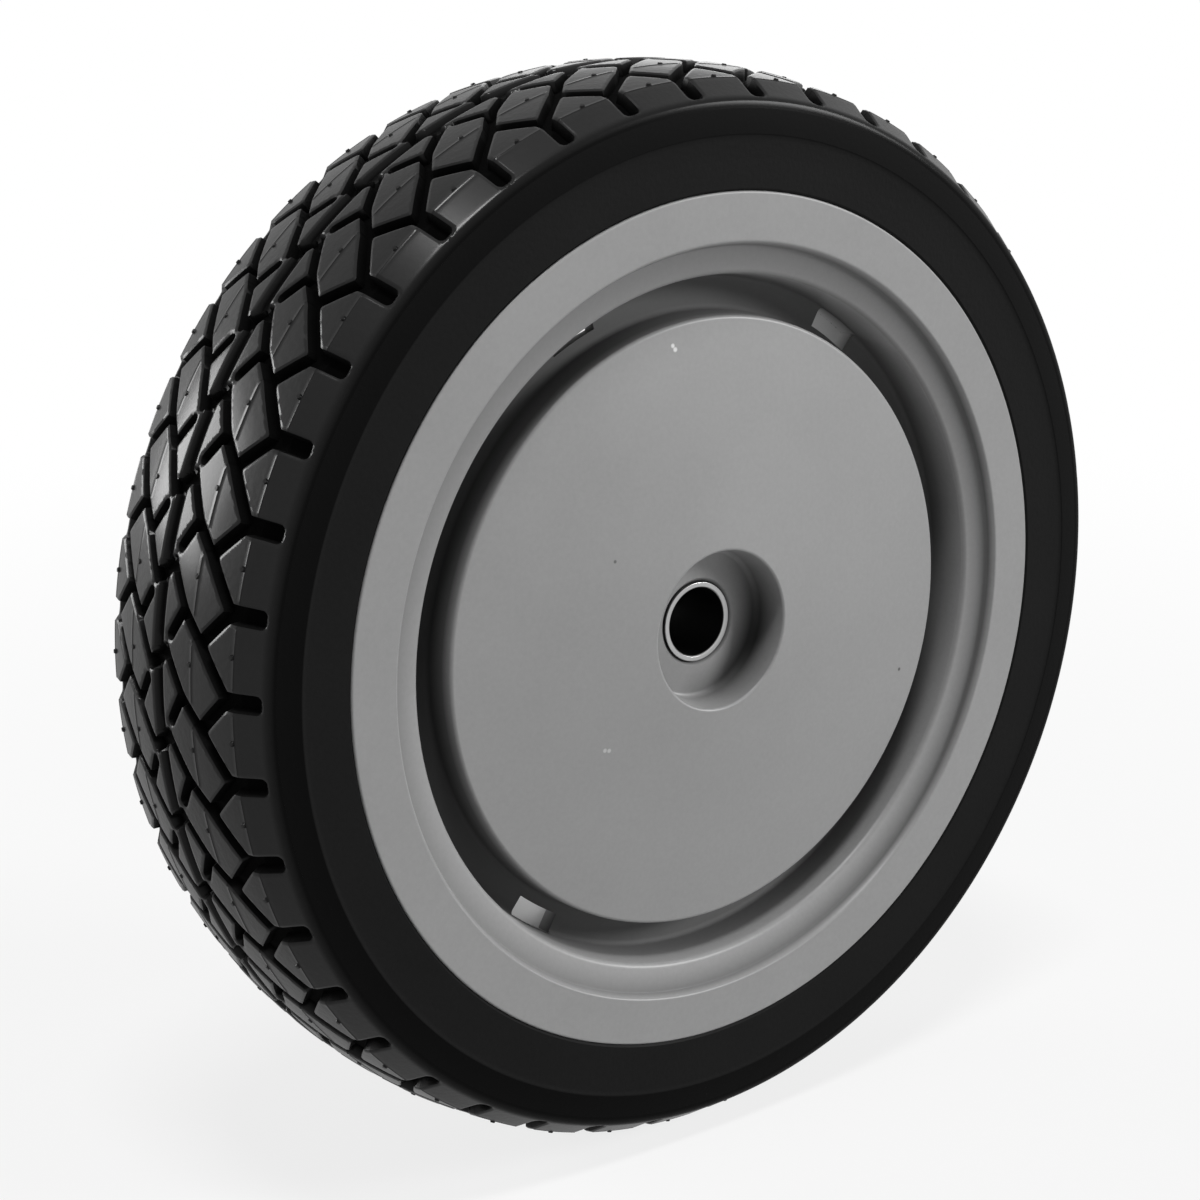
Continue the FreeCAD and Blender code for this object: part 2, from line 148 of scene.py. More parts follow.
def tyre_section(s):
    """Radius and place along the axle at a distance s over the tread from its middle.

    The crown is a parabola; the shoulder and the sidewall are straight. Radius and place are averaged
    over CORNER_SPAN with a raised-cosine weight, which rounds the corners and leaves straights alone.
    """
    reach = np.arange(-SECTION_END, SECTION_END + SECTION_STEP / 2, SECTION_STEP)
    far = np.abs(reach)
    knots = [0, TREAD_HALF, TREAD_HALF + SHOULDER_LENGTH, SECTION_END]
    side = np.interp(far, knots, [0, TREAD_HALF, FOOT_SIDE, TYRE_SIDE])
    drop = np.interp(far, knots[1:], [CROWN_DROP, CROWN_DROP + SHOULDER_DROP, TYRE_R - CREASE_R])
    crown = CROWN_DROP * (np.minimum(far, TREAD_HALF) / TREAD_HALF) ** 2
    radius = TYRE_R - np.where(far < TREAD_HALF, crown, drop)
    side = np.copysign(side, reach)
    half = int(CORNER_SPAN / SECTION_STEP / 2)
    weight = 1 + np.cos(np.linspace(-math.pi, math.pi, 2 * half + 1))
    weight /= weight.sum()
    inside = slice(half, len(reach) - half)
    radius[inside] = np.convolve(radius, weight, "valid")
    side[inside] = np.convolve(side, weight, "valid")
    return np.interp(s, reach, radius), np.interp(s, reach, side)


# %% [markdown]
# ## The tread's pattern
# The pattern repeats round the tyre. On each side of the middle it has a notch in the shoulder,
# a zigzag, a link, a second zigzag with a blind branch, and a short slot to the middle groove. The
# inner side is the outer side turned half round and shifted by a share of a pitch. Grooves could be
# cut with booleans, but each is a straight stroke, so how deep a point lies follows from its distance
# to the nearest stroke. A notch is broad and has small round corners, so it is three strokes side by
# side.

# %% Tread pattern
PITCHES = 43
NOTCH_ANGLE = math.radians(152.7)
STAGGER = 0.545
NOTCH_WIDTH = 3.4 * MM
NOTCH_CORNER = 1.0 * MM
ZIGZAG_WIDTH = 2.5 * MM
LINK_WIDTH = 2.3 * MM
INNER_WIDTH = 2.0 * MM
BRANCH_WIDTH = 2.2 * MM
GROOVE_DEPTH = 2.2 * MM
MIDDLE_HALF = 1.6 * MM
MIDDLE_DEPTH = 1.3 * MM
WALL_RUN = 0.4 * MM
BEVEL = 0.4 * MM
BEVEL_DROP = 0.22 * MM
PITCH_LENGTH = 2 * math.pi * (TYRE_R - CROWN_DROP / 2) / PITCHES

# each corner of the pattern as (turn, place): turns in pitches, places over the tread from its middle
ZIG_TOP = (0, 19.2 * MM)
NEXT_ZIG_TOP = (1, 19.2 * MM)
ZIG_FOOT = (0.44, 12.5 * MM)
KNEE = (0.165, 8.0 * MM)
BRANCH_TOP = (0.12, 7.5 * MM)
BRANCH_END = (0.46, 3.9 * MM)
TAIL = (-0.355, 2.6 * MM)
SLOT_END = (-0.16, 0)

OUTER_STROKES = [
    (*ZIG_TOP, *ZIG_FOOT, ZIGZAG_WIDTH),
    (*NEXT_ZIG_TOP, *ZIG_FOOT, ZIGZAG_WIDTH),
    (*ZIG_FOOT, *KNEE, LINK_WIDTH),
    (*KNEE, *TAIL, INNER_WIDTH),
    (*BRANCH_TOP, *BRANCH_END, BRANCH_WIDTH),
    (*TAIL, *SLOT_END, LINK_WIDTH),
]
NOTCH_END = TREAD_HALF + 4.0 * MM
notch_top = ZIG_TOP[1] - NOTCH_CORNER / 2
notch_shift = (NOTCH_WIDTH / 2 - NOTCH_CORNER) / PITCH_LENGTH
OUTER_STROKES += [
    (shift, NOTCH_END, shift, notch_top, 2 * NOTCH_CORNER)
    for shift in (-notch_shift, 0, notch_shift)
]
INNER_STROKES = [(STAGGER - u0, -s0, STAGGER - u1, -s1, w) for u0, s0, u1, s1, w in OUTER_STROKES]
STROKES = np.array([
    (u0 + k, s0, u1 + k, s1, w)
    for k in (-1, 0, 1)
    for u0, s0, u1, s1, w in OUTER_STROKES + INNER_STROKES
])
print(f"tread: {PITCHES} pitches of {1000 * PITCH_LENGTH:.2f} mm, {len(STROKES)} strokes over three pitches")


def nearest_stroke(x, s):
    """How far points lie outside the nearest groove's edge, and the direction away from it.

    For each stroke, the foot of the perpendicular is kept between the stroke's ends; the distance
    to it, less half the groove's width, is the distance outside the edge.
    """
    start = np.stack([STROKES[:, 0] * PITCH_LENGTH, STROKES[:, 1]], -1)
    run = np.stack([STROKES[:, 2] * PITCH_LENGTH, STROKES[:, 3]], -1) - start
    point = np.stack([x, s], -1)[..., None, :]
    share = ((point - start) * run).sum(-1) / (run ** 2).sum(-1)
    away = point - (start + np.clip(share, 0, 1)[..., None] * run)
    distance = np.sqrt((away ** 2).sum(-1))
    outside = distance - STROKES[:, 4] / 2
    nearest = outside.argmin(-1)[..., None]
    away = np.take_along_axis(away, nearest[..., None], -2)[..., 0, :]
    distance = np.take_along_axis(distance, nearest, -1)
    return np.take_along_axis(outside, nearest, -1)[..., 0], away / np.maximum(distance, TINY)


def groove_level(outside, s):
    """Height against the smooth tread: a bevel down to a groove's edge, then a steep wall to its floor."""
    level = np.interp(outside, [-WALL_RUN, 0, BEVEL], [-GROOVE_DEPTH, -BEVEL_DROP, 0])
    middle = np.interp(np.abs(s) - MIDDLE_HALF, [-WALL_RUN, 0, BEVEL], [-MIDDLE_DEPTH, -BEVEL_DROP, 0])
    return np.minimum(level, middle)


# %% [markdown]
# One pitch is worked out on a fine grid and laid round the tyre. A grid cuts a slanting edge into
# steps, so points close to a groove are moved onto the nearest of three lines along it: the bevel's
# top, the edge and the wall's foot. Two fine mould lines run round each side, one on the shoulder's
# edge and one across the blocks, so the rows include them.

# %% Tread mesh
PITCH_COLUMNS = 36
ROW_STEP = 0.4 * MM
MOULD_LINES = np.array([10.45, 20.9]) * MM
MOULD_LINE_HEIGHT = 0.09 * MM
MOULD_LINE_HALF = 0.22 * MM
SPLIT_ROW = 13.2 * MM
SHADE_POWER = 0.7
LINE_SHADE = 0.4
BULGE_SHADE = 0.9
TREAD_SHARP = 40

tread_end = TREAD_HALF + SHOULDER_LENGTH + CORNER_SPAN / 2 + ROW_STEP
plain = np.linspace(0, tread_end, int(round(tread_end / ROW_STEP)) + 1)
line_rows = (MOULD_LINES[:, None] + np.array([-1, 0, 1]) * MOULD_LINE_HALF).ravel()
middle_rows = MIDDLE_HALF + np.array([-WALL_RUN, 0, BEVEL])
special = np.concatenate([line_rows, middle_rows])
kept = np.abs(plain[:, None] - special[None, :]).min(1) > ROW_STEP / 2
half_rows = np.unique(np.concatenate([plain[kept], special]))
rows = np.concatenate([-half_rows[:0:-1], half_rows])

x = (np.arange(PITCH_COLUMNS) / PITCH_COLUMNS * PITCH_LENGTH)[:, None] + 0 * rows[None, :]
s = 0 * x + rows[None, :]
outside, away = nearest_stroke(x, s)
lines = np.array([BEVEL, 0, -WALL_RUN])
line_gap = outside[..., None] - lines
gap = np.take_along_axis(line_gap, np.abs(line_gap).argmin(-1)[..., None], -1)[..., 0]
by_middle = np.abs(np.abs(s)[..., None] - middle_rows).min(-1) < ROW_STEP / 2
close = (np.abs(gap) < ROW_STEP / 2) & ~by_middle
x = np.where(close, x - gap * away[..., 0], x)
s = np.where(close, s - gap * away[..., 1], s)
outside, _ = nearest_stroke(x, s)
level = groove_level(outside, s)
on_line = (np.abs(np.abs(s)[..., None] - MOULD_LINES) < MOULD_LINE_HALF / 2).any(-1)
level = level + MOULD_LINE_HEIGHT * (on_line & (outside > BEVEL))
# Painted shade deepens towards the grooves' floors and past the shoulder's foot; mould lines are darker.
shade = np.clip(-level / GROOVE_DEPTH, 0, 1) ** SHADE_POWER + LINE_SHADE * on_line
shoulder_foot = TREAD_HALF + SHOULDER_LENGTH
foot_ends = [shoulder_foot - CORNER_SPAN / 2, shoulder_foot + CORNER_SPAN / 2]
shade = np.maximum(shade, np.interp(np.abs(s), foot_ends, [0, BULGE_SHADE]))


def on_tread(turn, s, level):
    """Points over the tread: the section at s, moved out by level along the section's normal."""
    radius, side = tyre_section(s)
    ahead_r, ahead_side = tyre_section(s + SECTION_STEP)
    behind_r, behind_side = tyre_section(s - SECTION_STEP)
    slope = np.hypot(ahead_r - behind_r, ahead_side - behind_side)
    radius = radius + level * (ahead_side - behind_side) / slope
    side = side - level * (ahead_r - behind_r) / slope
    return turned(radius, side, NOTCH_ANGLE + turn * 2 * math.pi / PITCHES)


rounds = PITCHES * PITCH_COLUMNS
turn = np.arange(PITCHES)[:, None, None] + x[None] / PITCH_LENGTH
tread_points = on_tread(turn, s, level).reshape(rounds, len(rows), 3)
tread_level = np.tile(level, (PITCHES, 1))
tread_shade = np.tile(np.minimum(shade, 1), (PITCHES, 1))

TREAD_NAMES = ("inner_shoulder", "tread_inner", "tread_outer", "outer_shoulder")
cuts = np.searchsorted(rows, [-SPLIT_ROW, 0, SPLIT_ROW])
tread_pieces = []
for name, first, last in zip(TREAD_NAMES, [0, *cuts], [*cuts, len(rows) - 1]):
    band = slice(first, last + 1)
    points = tread_points[:, band]
    corners = grid_triangles(rounds, points.shape[1], tread_level[:, band])
    tread_pieces.append(add_mesh(name, points.reshape(-1, 3), corners, TREAD_SHARP, tread_shade[:, band]))
    print(f"{name}: {len(corners)} triangles, {points.shape[1]} rows")

# %% [markdown]
# Air leaves the mould through small vents, and each leaves a stub of rubber on a mould line. A stub is
# a short tapered peg: a ring of points at its foot, sunk a little into the rubber, a smaller ring at its
# top, and a point to close it.

# %% Vent stubs
STUB_SIDES = 8
STUB_FOOT_R = 0.55 * MM
STUB_TOP_R = 0.36 * MM
STUB_SUNK = -0.2
STUB_SHADE = 0.3
# each stub's turn in pitches, its place over the tread and its height
STUBS = [(0.48, 20.4 * MM, 0.35 * MM), (0.72, 9.9 * MM, 0.25 * MM)]
STUBS += [(STAGGER - around, -place, height) for around, place, height in STUBS]
stub_turn, stub_place, stub_height = [column[None, :, None] for column in np.array(STUBS).T]
circle = np.arange(STUB_SIDES) / STUB_SIDES * 2 * math.pi
rings = []
for radius, share, places in ((STUB_FOOT_R, STUB_SUNK, circle), (STUB_TOP_R, 1, circle), (0, 1, circle[:1])):
    ring_turn = np.arange(PITCHES)[:, None, None] + stub_turn + radius * np.cos(places) / PITCH_LENGTH
    ring_place = stub_place + radius * np.sin(places) + 0 * ring_turn
    rings.append(on_tread(ring_turn, ring_place, share * stub_height))
stub_points = np.concatenate(rings, 2).reshape(-1, 3)
number = np.arange(len(stub_points)).reshape(-1, 2 * STUB_SIDES + 1)
foot, top, tip = np.split(number, [STUB_SIDES, 2 * STUB_SIDES], axis=1)
foot_after, top_after = np.roll(foot, -1, 1), np.roll(top, -1, 1)
stub_corners = np.concatenate([
    np.stack([foot, foot_after, top], -1).reshape(-1, 3),
    np.stack([foot_after, top_after, top], -1).reshape(-1, 3),
    np.stack([top, top_after, tip + 0 * top], -1).reshape(-1, 3),
])
# The stubs carry a painted shade, so that they show as dark dots.
stub_shade = np.full(len(stub_points), STUB_SHADE)
vent_stubs = add_mesh("vent_stubs", stub_points, stub_corners, TREAD_SHARP, stub_shade)
print(f"vent stubs: {len(stub_corners)} triangles")

# %% [markdown]
# ## Sidewalls and seat
# Below the shoulder the sidewall bulges to a crease. Inside the crease it is a plain ring that dips
# to the rim's edge. Behind that the rubber wraps the rim: down the flanges and across the seat. All
# of it is one section turned round the axle.

# %% Sidewall mesh
SEAT_R = RIM_R - 12.2 * MM
SEAT_SIDE = RIM_SIDE - 4.6 * MM
CREASE_ROUND = 0.35 * MM
CREASE_DIP = 0.15 * MM
RING_DIP = 0.25 * MM
RING_SAG = 0.1 * MM
RIM_BEAD = 0.5 * MM
RIM_TUCK = 0.4 * MM
SIDE_ROUNDS = 430
SIDE_SHARP = 25
BULGE_STEPS = 8
CREASE_SHADE = 1.0

bulge = np.stack(tyre_section(np.linspace(tread_end, SECTION_END, BULGE_STEPS)), -1)
ring = np.array([
    (CREASE_R - CREASE_ROUND, TYRE_SIDE - CREASE_DIP),
    (CREASE_R - 3 * CREASE_ROUND, TYRE_SIDE - RING_DIP),
    ((CREASE_R + RIM_R) / 2, (TYRE_SIDE + RIM_SIDE) / 2 - RING_SAG),
    (RIM_R + RIM_BEAD, RIM_SIDE),
    (RIM_R, RIM_SIDE - RIM_TUCK),
    (RIM_R, SEAT_SIDE),
    (SEAT_R, SEAT_SIDE),
])
outer_wall = np.concatenate([bulge, ring])
section = np.concatenate([outer_wall, outer_wall[::-1] * (1, -1)])
turns = np.arange(SIDE_ROUNDS) / SIDE_ROUNDS * 2 * math.pi
wall_points = turned(section[None, :, 0], section[None, :, 1], turns[:, None]).reshape(-1, 3)
wall_corners = grid_triangles(SIDE_ROUNDS, len(section))
# Painted shade: darker over the bulge and most at the crease, where little light falls.
crease_places = [CREASE_R - CREASE_ROUND, CREASE_R, bulge[0, 0]]
wall_shade = np.interp(section[:, 0], crease_places, [0, CREASE_SHADE, BULGE_SHADE])
sidewalls = add_mesh("sidewalls", wall_points, wall_corners, SIDE_SHARP, np.tile(wall_shade, SIDE_ROUNDS))
print(f"sidewalls: {len(wall_corners)} triangles")

# %% [markdown]
# ## Sections with rounded corners
# The hub and the sleeve are turned shapes: a section goes once round the axle. A moulded section is
# easiest to give as its corners, each with the radius it is rounded to. The arcs are laid between
# the straights, and each straight gets a point close to either end, so that the smooth shading of an
# arc doesn't bleed across a flat face.

# %% Rounded sections
ARC_STEPS = 7
GUARD = 0.12 * MM


def rounded_section(corners):
    """A closed section from (radius, depth, rounding) corners, as an (n, 2) array.

    At each corner the rounding's arc touches both straights: it starts and ends at the rounding
    times the tangent of half the turn from the corner, and is drawn as a circle about its centre.
    """
    at = np.array([corner[:2] for corner in corners])
    rounding = np.array([corner[2] for corner in corners])
    ahead = np.roll(at, -1, 0) - at
    ahead /= np.linalg.norm(ahead, axis=1)[:, None]
    behind = -np.roll(ahead, 1, 0)
    half_angle = np.arccos(np.clip((ahead * behind).sum(1), -1, 1)) / 2
    leave = rounding / np.tan(half_angle)
    bisector = ahead + behind
    bisector /= np.maximum(np.linalg.norm(bisector, axis=1), TINY)[:, None]
    centre = at + bisector * (rounding / np.sin(half_angle))[:, None]
    share = np.linspace(0, 1, ARC_STEPS)[None, :, None]
    start = (at + behind * leave[:, None])[:, None]
    end = (at + ahead * leave[:, None])[:, None]
    chord = start * (1 - share) + end * share
    spoke = chord - centre[:, None]
    length = np.linalg.norm(spoke, axis=2, keepdims=True)
    arc = centre[:, None] + spoke / np.maximum(length, TINY) * rounding[:, None, None]
    before = at + behind * (leave + GUARD)[:, None]
    after = at + ahead * (leave + GUARD)[:, None]
    outline = []
    for i, size in enumerate(rounding):
        outline += [before[i], *(arc[i] if size else [at[i]]), after[i]]
    return np.array(outline)


def turned_section(section, angles):
    """A closed section carried round the axle at the given angles, as points and triangle corners."""
    points = turned(section[None, :, 0], RIM_SIDE - section[None, :, 1], angles[:, None])
    return points.reshape(-1, 3), grid_triangles(len(angles), len(section), closed_section=True)


# %% [markdown]
# ## The hub
# The hub is one moulding: flanges that hold the tyre, a dished disc inside a deep groove, and a
# recess for the bolt's head. Its section has the CAD model's sizes, with rounded edges. Three windows
# go through the groove's floor, so the grid has lines along their edges, and the cells inside them are
# left out. The windows widen towards the back, one of them less than the others, so that it shows a
# thinner line of the ground behind the wheel.

# %% Hub section
GROOVE_R = 63.7 * MM
GROOVE_FLOOR = 11.4 * MM
GROOVE_IN_R = 57.6 * MM
DISC_R = 57.2 * MM
DISC_DEPTH = 4.2 * MM
DISC_TOP = 0.4 * MM
RECESS_R = 14.9 * MM
RECESS_FLOOR_R = 14.4 * MM
RECESS_FLOOR = RIM_SIDE + sleeve_box[0].y
SLEEVE_R = sleeve_box[1].x
BOSS_R = 11.5 * MM
WEB = 3.0 * MM
FLANGE = 4.6 * MM
BACK = 2 * RIM_SIDE
STEP_R = RIM_R - 8.8 * MM
STEP_FOOT_R = STEP_R - 0.8 * MM
STEP_DEPTH = 1.6 * MM
LIP_R = GROOVE_R + 1.1 * MM
LIP_DEPTH = 3.0 * MM
LIP_ROUND = 1.2 * MM
LIP_TAPER = 0.65
WINDOW_IN_R = GROOVE_R - 3.8 * MM
WINDOW_BACK_R = WINDOW_IN_R - 1.5 * MM
WINDOW_TIGHT_R = WINDOW_IN_R - 0.6 * MM
SLEEVE_CHAMFER = 0.85 * MM
FOOT = 1.0 * MM
FINE_EDGE = 0.4 * MM
EDGE = 0.5 * MM
BACK_EDGE = 0.6 * MM
DISC_EDGE = 0.7 * MM
WALL_SHADE_TOP = 8.5 * MM
DISC_SHADE_TOP = 6.8 * MM

hub_corners = [
    (RIM_R, 0, FINE_EDGE),
    (STEP_R, 0, EDGE),
    (STEP_FOOT_R, STEP_DEPTH, FINE_EDGE),
    (LIP_R, LIP_DEPTH, LIP_ROUND),
    (LIP_R - (LIP_R - GROOVE_R) * LIP_TAPER, WALL_SHADE_TOP, 0),
    (GROOVE_R, GROOVE_FLOOR, FOOT),
    (WINDOW_IN_R, GROOVE_FLOOR, 0),
    (GROOVE_IN_R, GROOVE_FLOOR, FOOT),
    ((DISC_R + GROOVE_IN_R) / 2, DISC_SHADE_TOP, 0),
    (DISC_R, DISC_DEPTH, DISC_EDGE),
    (RECESS_R, DISC_TOP, EDGE),
    (RECESS_FLOOR_R, RECESS_FLOOR, FOOT),
    (SLEEVE_R + SLEEVE_CHAMFER, RECESS_FLOOR, 0),
    (SLEEVE_R, RECESS_FLOOR + SLEEVE_CHAMFER, 0),
    (SLEEVE_R, BACK, 0),
    (BOSS_R, BACK, FINE_EDGE),
    (BOSS_R, RECESS_FLOOR + WEB, FOOT),
    (RECESS_FLOOR_R + WEB, RECESS_FLOOR + WEB, FOOT),
    (RECESS_R + WEB, DISC_TOP + WEB, FOOT),
    (DISC_R - WEB, DISC_DEPTH + WEB, FOOT),
    (GROOVE_IN_R - WEB, GROOVE_FLOOR + WEB, EDGE),
    (WINDOW_BACK_R, GROOVE_FLOOR + WEB, 0),
    (WINDOW_TIGHT_R, GROOVE_FLOOR + WEB, 0),
    (GROOVE_R, GROOVE_FLOOR + WEB, 0),
    (GROOVE_R, BACK, FINE_EDGE),
    (RIM_R, BACK, BACK_EDGE),
    (RIM_R, BACK - FLANGE, 0),
    (SEAT_R, BACK - FLANGE, 0),
    (SEAT_R, FLANGE, 0),
    (RIM_R, FLANGE, 0),
]
hub_section = rounded_section(hub_corners)
print(f"hub section of {len(hub_section)} points from {len(hub_corners)} corners")

# %% [markdown]
# The section is carried round in six equal sectors. A window, where a sector has one, takes the sector's
# first columns. A triangle is left out if its middle lies over the floor's outer part in those columns.

# %% Hub grid and windows
SECTORS = 6
SECTOR_COLUMNS = 54
WINDOW_COLUMNS = 8
WINDOW_BACKS = {0: WINDOW_BACK_R, 1: WINDOW_TIGHT_R, 3: WINDOW_BACK_R}
WINDOW_ANGLE = math.radians(55.3)
WINDOW_WIDTH = 10.0 * MM
BACK_MARGIN = 0.3 * MM
window_turn = WINDOW_WIDTH / ((GROOVE_R + WINDOW_IN_R) / 2)
sector_turn = 2 * math.pi / SECTORS
column = np.arange(SECTORS * SECTOR_COLUMNS)
column_ends = [0, WINDOW_COLUMNS, SECTOR_COLUMNS]
within = np.interp(column % SECTOR_COLUMNS, column_ends, [0, window_turn, sector_turn])
hub_angles = WINDOW_ANGLE - window_turn / 2 + column // SECTOR_COLUMNS * sector_turn + within
hub_points, hub_triangles = turned_section(hub_section, hub_angles)

middles = hub_points[hub_triangles].mean(1)
middle_r = np.hypot(middles[:, 0], middles[:, 2])
middle_depth = middles[:, 1] + RIM_SIDE
middle_turn = (np.arctan2(middles[:, 2], middles[:, 0]) - WINDOW_ANGLE + window_turn / 2) % (2 * math.pi)
middle_sector = (middle_turn // sector_turn).astype(int)
back_edge = np.array([WINDOW_BACKS.get(sector, GROOVE_R) for sector in range(SECTORS)])[middle_sector]
through = np.interp(middle_depth, [GROOVE_FLOOR, GROOVE_FLOOR + WEB], [0, 1])
window_edge = WINDOW_IN_R + through * (back_edge - WINDOW_IN_R)
over_floor = (middle_r > window_edge) & (middle_r < GROOVE_R)
over_floor &= (middle_depth > GROOVE_FLOOR - FOOT) & (middle_depth < GROOVE_FLOOR + WEB + BACK_MARGIN)
in_window = np.isin(middle_sector, list(WINDOW_BACKS)) & (middle_turn % sector_turn < window_turn)
hub_triangles = hub_triangles[~(over_floor & in_window)]
print(f"hub grid: {len(hub_triangles)} triangles, {len(WINDOW_BACKS)} windows")

# %% [markdown]
# Six flat ribs stiffen the hub behind the disc. A rib lies in a half plane that starts at the axle. It
# is given by its front and back edges in that plane, and has its thickness across it. The front edge
# runs inside the disc's own thickness, so that no gap shows.


# %% Ribs
def plate(front, back, angle, width):
    """A plate in the half plane at an angle, between two edges of (radius, depth) points.

    Each point is moved half the width to either side of the half plane.
    """
    edges = np.array([front, back])
    across = np.array([-width / 2, width / 2])[:, None, None]
    r, depth = edges[None, ..., 0], edges[None, ..., 1]
    points = np.stack(np.broadcast_arrays(
        r * math.cos(angle) - across * math.sin(angle), depth - RIM_SIDE,
        r * math.sin(angle) + across * math.cos(angle)), -1)
    count = edges.shape[1]
    number = np.arange(4 * count).reshape(2, 2, count)
    ring = np.stack([number[0, 0], number[0, 1], number[1, 1], number[1, 0]])
    a, b = ring, np.roll(ring, -1, 0)
    quads = np.stack([a[:, :-1], b[:, :-1], b[:, 1:], a[:, 1:]], -1).reshape(-1, 4)
    ends = np.stack([ring[::-1, 0], ring[:, -1]])
    quads = np.concatenate([quads, ends])
    return points.reshape(-1, 3), np.concatenate([quads[:, :3], quads[:, [0, 2, 3]]])


RIB = 2.6 * MM
RIB_BACK = BACK - 7.0 * MM
half_web = WEB / 2
in_barrel = (GROOVE_R + SEAT_R) / 2
rib_front = [
    ((BOSS_R + SLEEVE_R) / 2, RECESS_FLOOR + half_web),
    (RECESS_FLOOR_R + half_web, RECESS_FLOOR + half_web),
    (RECESS_R + half_web, DISC_TOP + half_web),
    (DISC_R - half_web, DISC_DEPTH + half_web),
    (GROOVE_IN_R - half_web, GROOVE_FLOOR + half_web),
    (in_barrel, GROOVE_FLOOR + half_web),
]

parts = [(hub_points, hub_triangles)]
for sector in range(SECTORS):
    rib_angle = WINDOW_ANGLE + (sector + 0.5) * sector_turn
    parts.append(plate(rib_front, [(r, RIB_BACK) for r, _ in rib_front], rib_angle, RIB))
print(f"{SECTORS} ribs, {1000 * RIB:.1f} mm thick")

# %% [markdown]
# The cells left out for a window leave the floor's thickness open. Four sheets close it: an inner and
# an outer one, which bend with the groove, and one at each end. The outer sheet starts a little above
# the floor, where the rounding at the groove's foot was left out too.


# %% Window walls
def window_wall(front, back, top, first_angle, last_angle):
    """A sheet through the floor, in small steps from one angle to another.

    Its front and back edges each run from one radius to another.
    """
    share = np.linspace(0, 1, WINDOW_COLUMNS + 1)[:, None]
    ends = np.array([front, back])
    r = ends[None, :, 0] * (1 - share) + ends[None, :, 1] * share
    angle = first_angle + (last_angle - first_angle) * share
    depth = np.array([[top, GROOVE_FLOOR + WEB]])
    points = turned(r, RIM_SIDE - depth + 0 * r, angle + 0 * depth)
    number = np.arange(2 * len(share)).reshape(-1, 2)
    quads = np.stack([number[:-1, 0], number[1:, 0], number[1:, 1], number[:-1, 1]], -1)
    return points.reshape(-1, 3), np.concatenate([quads[:, :3], quads[:, [0, 2, 3]]])


for sector, window_back in WINDOW_BACKS.items():
    first = WINDOW_ANGLE + sector * sector_turn - window_turn / 2
    last = first + window_turn
    outer = [GROOVE_R, GROOVE_R]
    parts.append(window_wall([WINDOW_IN_R] * 2, [window_back] * 2, GROOVE_FLOOR, first, last))
    parts.append(window_wall(outer, outer, GROOVE_FLOOR - FOOT, last, first))
    parts.append(window_wall([GROOVE_R, WINDOW_IN_R], [GROOVE_R, window_back], GROOVE_FLOOR, first, first))
    parts.append(window_wall([WINDOW_IN_R, GROOVE_R], [window_back, GROOVE_R], GROOVE_FLOOR, last, last))
shifts = np.cumsum([0] + [len(points) for points, _ in parts[:-1]])
all_points = np.concatenate([points for points, _ in parts])
all_corners = np.concatenate([corners + shift for (_, corners), shift in zip(parts, shifts)])
print(f"hub: {len(parts)} parts, {len(all_corners)} triangles")

# %% [markdown]
# The hub's shade follows the light in the picture. It lies deep in the groove, most on its left and right,
# along the step's foot, on the lip's upper side, on the right of the recess's floor and in the chamfer
# round the sleeve. It could be painted by hand, but each place has a simple form, so a mask and a
# formula are enough. The first mask that holds a point decides.

# %% Hub shade
FLOOR_SHADE = 0.8
FLOOR_SHADE_SIDES = 0.13
FLOOR_SHADE_LEFT = 0.07
FLOOR_SHADE_ANGLE = math.radians(150)
DISC_WALL_SHADE = 0.75
LIP_WALL_SHADE = 0.7
STEP_SHADE = 0.5
STEP_SHADE_RIGHT = 0.2
LIP_SHADE = 0.3
LIP_SHADE_ANGLE = math.radians(70)
LIP_SHADE_SPREAD = 0.75
RECESS_SHADE_ANGLE = math.radians(-20)
DISC_WALL_TOP = DISC_DEPTH + 0.6 * MM
LIP_WALL_TOP = LIP_DEPTH + 1.3 * MM
RECESS_SHADE_TOP = RECESS_FLOOR - 1.3 * FOOT
LIP_SHADE_TOP = 1.5 * MM
CHAMFER_SHADE_R = SLEEVE_R + 0.5 * MM
HUB_SHARP = 30

point_r = np.hypot(all_points[:, 0], all_points[:, 2])
point_depth = all_points[:, 1] + RIM_SIDE
point_turn = np.arctan2(all_points[:, 2], all_points[:, 0])

in_groove = (point_r > DISC_R - FOOT) & (point_r < LIP_R) & (point_depth < GROOVE_FLOOR + TINY)
floor_shade = FLOOR_SHADE + FLOOR_SHADE_SIDES * np.cos(2 * point_turn)
floor_shade += FLOOR_SHADE_LEFT * np.cos(point_turn - FLOOR_SHADE_ANGLE)
disc_wall_places = [DISC_WALL_TOP, DISC_SHADE_TOP, GROOVE_FLOOR - FOOT]
disc_wall = np.interp(point_depth, disc_wall_places, [0, DISC_WALL_SHADE, 1])
lip_wall = np.interp(point_depth, [LIP_WALL_TOP, WALL_SHADE_TOP, GROOVE_FLOOR], [0, LIP_WALL_SHADE, 1])
groove_shade = np.where(point_r < WINDOW_IN_R, disc_wall, lip_wall) * floor_shade

at_step = (np.abs(point_r - STEP_FOOT_R) < EDGE) & (np.abs(point_depth - STEP_DEPTH) < FINE_EDGE)
step_shade = STEP_SHADE + STEP_SHADE_RIGHT * np.cos(point_turn)
on_lip = (point_r > LIP_R) & (point_r < STEP_R)
on_lip &= (point_depth > LIP_SHADE_TOP) & (point_depth < WALL_SHADE_TOP)
lip_shade = LIP_SHADE * np.maximum(np.cos((point_turn - LIP_SHADE_ANGLE) * LIP_SHADE_SPREAD), 0)
in_chamfer = (point_r < CHAMFER_SHADE_R) & (point_depth < RECESS_FLOOR + WEB)
in_recess = (point_r < RECESS_R) & (point_depth > RECESS_SHADE_TOP) & (point_depth < RECESS_FLOOR + TINY)
recess_shade = np.interp(point_r, [SLEEVE_R + FOOT, RECESS_FLOOR_R - FOOT], [0, 1])
